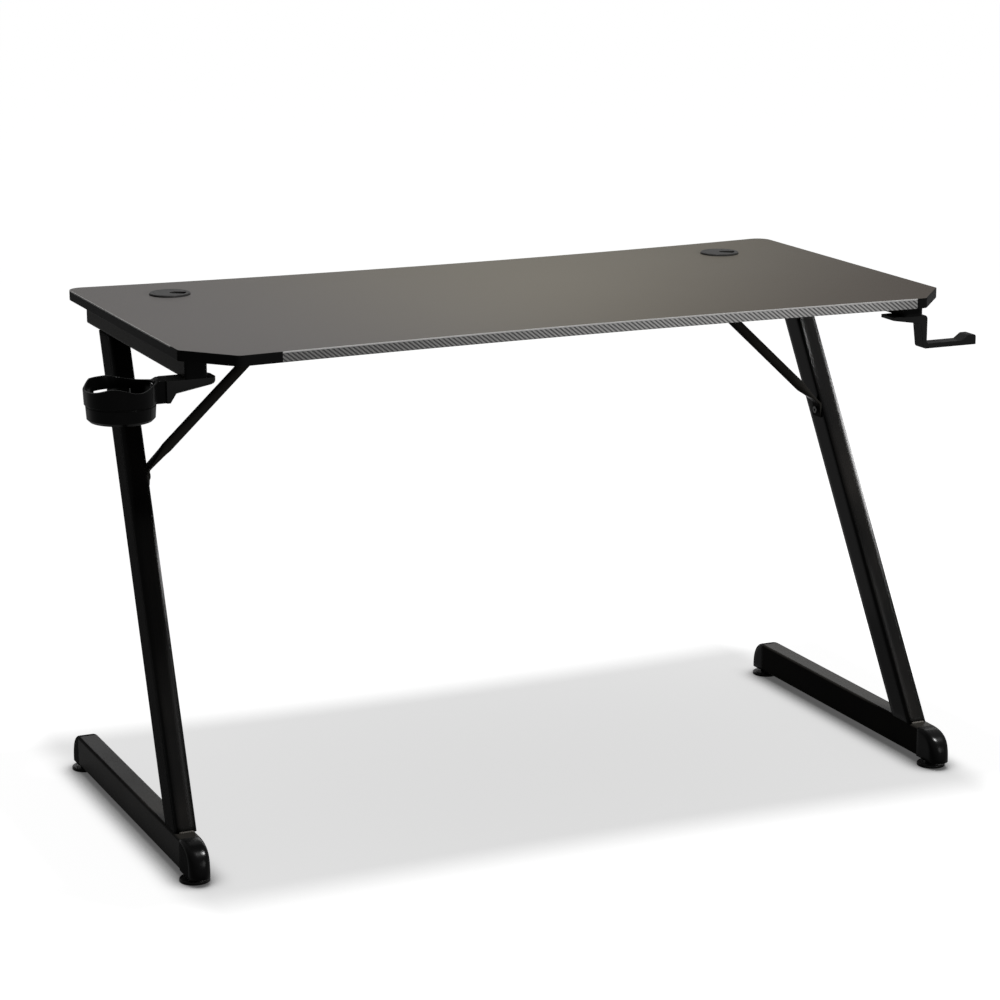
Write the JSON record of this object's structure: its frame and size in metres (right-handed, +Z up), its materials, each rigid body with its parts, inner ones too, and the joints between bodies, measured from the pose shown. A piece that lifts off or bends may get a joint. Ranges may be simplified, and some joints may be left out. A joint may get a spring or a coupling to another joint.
{
  "type": "gaming desk",
  "caption": "Gaming desk: chamfered board on leaning Z-shaped tube legs with diagonal braces, levelling feet, turning cable grommets, a cup holder and a headphone hook.",
  "frame": {"origin": "on the floor, under the middle of the desktop's width and depth", "axes": "+X to the sitter's right along the desktop, +Y to the rear, +Z up; the sitter's edge faces -Y"},
  "size_m": [1.4079, 0.6052, 0.753],
  "materials": {
    "desktop_film": "particle board faced with satin dark grey film",
    "edge_band": "edge band with a carbon twill print along the front",
    "black_steel": "black satin powder coat",
    "cap_plastic": "black moulded plastic, half gloss",
    "pad_plastic": "black moulded plastic",
    "zinc_steel": "zinc plated",
    "insert_brass": "turned brass",
    "black_bolt": "blackened steel",
    "grommet_plastic": "dark moulded plastic, half gloss",
    "cup_gloss": "gloss black moulded plastic",
    "bracket_plastic": "black moulded plastic, satin"
  },
  "bodies": {
    "desk": {"brace_bolts": "black_bolt", "brace_nuts": "zinc_steel", "brace_top_screws": "zinc_steel", "cup_arm_screws": "black_bolt", "cup_holder": "cup_gloss", "cup_holder_arm": "bracket_plastic", "cup_holder_screws": "black_bolt", "desktop_board": "desktop_film", "desktop_edge_band": "edge_band", "desktop_screws": "zinc_steel", "headphone_hook": "bracket_plastic", "hook_screws": "black_bolt", "left_brace": "black_steel", "left_foot_bar": "black_steel", "left_foot_cap_front": "cap_plastic", "left_foot_cap_rear": "cap_plastic", "left_grommet_ring": "grommet_plastic", "left_post": "black_steel", "left_rail": "black_steel", "left_rail_cap_front": "cap_plastic", "left_rail_cap_rear": "cap_plastic", "levelling_inserts": "insert_brass", "right_brace": "black_steel", "right_foot_bar": "black_steel", "right_foot_cap_front": "cap_plastic", "right_foot_cap_rear": "cap_plastic", "right_grommet_ring": "grommet_plastic", "right_post": "black_steel", "right_rail": "black_steel", "right_rail_cap_front": "cap_plastic", "right_rail_cap_rear": "cap_plastic"},
    "levelling_foot_left_front": {"left_levelling_pad_front": "pad_plastic", "left_levelling_stud_front": "zinc_steel"},
    "levelling_foot_left_rear": {"left_levelling_pad_rear": "pad_plastic", "left_levelling_stud_rear": "zinc_steel"},
    "levelling_foot_right_front": {"right_levelling_pad_front": "pad_plastic", "right_levelling_stud_front": "zinc_steel"},
    "levelling_foot_right_rear": {"right_levelling_pad_rear": "pad_plastic", "right_levelling_stud_rear": "zinc_steel"},
    "grommet_cap_left": {"left_grommet_cap": "grommet_plastic"},
    "grommet_cap_right": {"right_grommet_cap": "grommet_plastic"}
  },
  "joints": [
    {"name": "level_left_front", "type": "slide", "parent": "desk", "child": "levelling_foot_left_front", "axis": [0, 0, -1], "range_m": [0, 0.01]},
    {"name": "level_left_rear", "type": "slide", "parent": "desk", "child": "levelling_foot_left_rear", "axis": [0, 0, -1], "range_m": [0, 0.01]},
    {"name": "level_right_front", "type": "slide", "parent": "desk", "child": "levelling_foot_right_front", "axis": [0, 0, -1], "range_m": [0, 0.01]},
    {"name": "level_right_rear", "type": "slide", "parent": "desk", "child": "levelling_foot_right_rear", "axis": [0, 0, -1], "range_m": [0, 0.01]},
    {"name": "turn_grommet_left", "type": "hinge", "parent": "desk", "child": "grommet_cap_left", "pos_m": [-0.473, 0.188, 0.75], "axis": [0, 0, 1], "continuous": true},
    {"name": "turn_grommet_right", "type": "hinge", "parent": "desk", "child": "grommet_cap_right", "pos_m": [0.455, 0.188, 0.75], "axis": [0, 0, 1], "continuous": true}
  ]
}
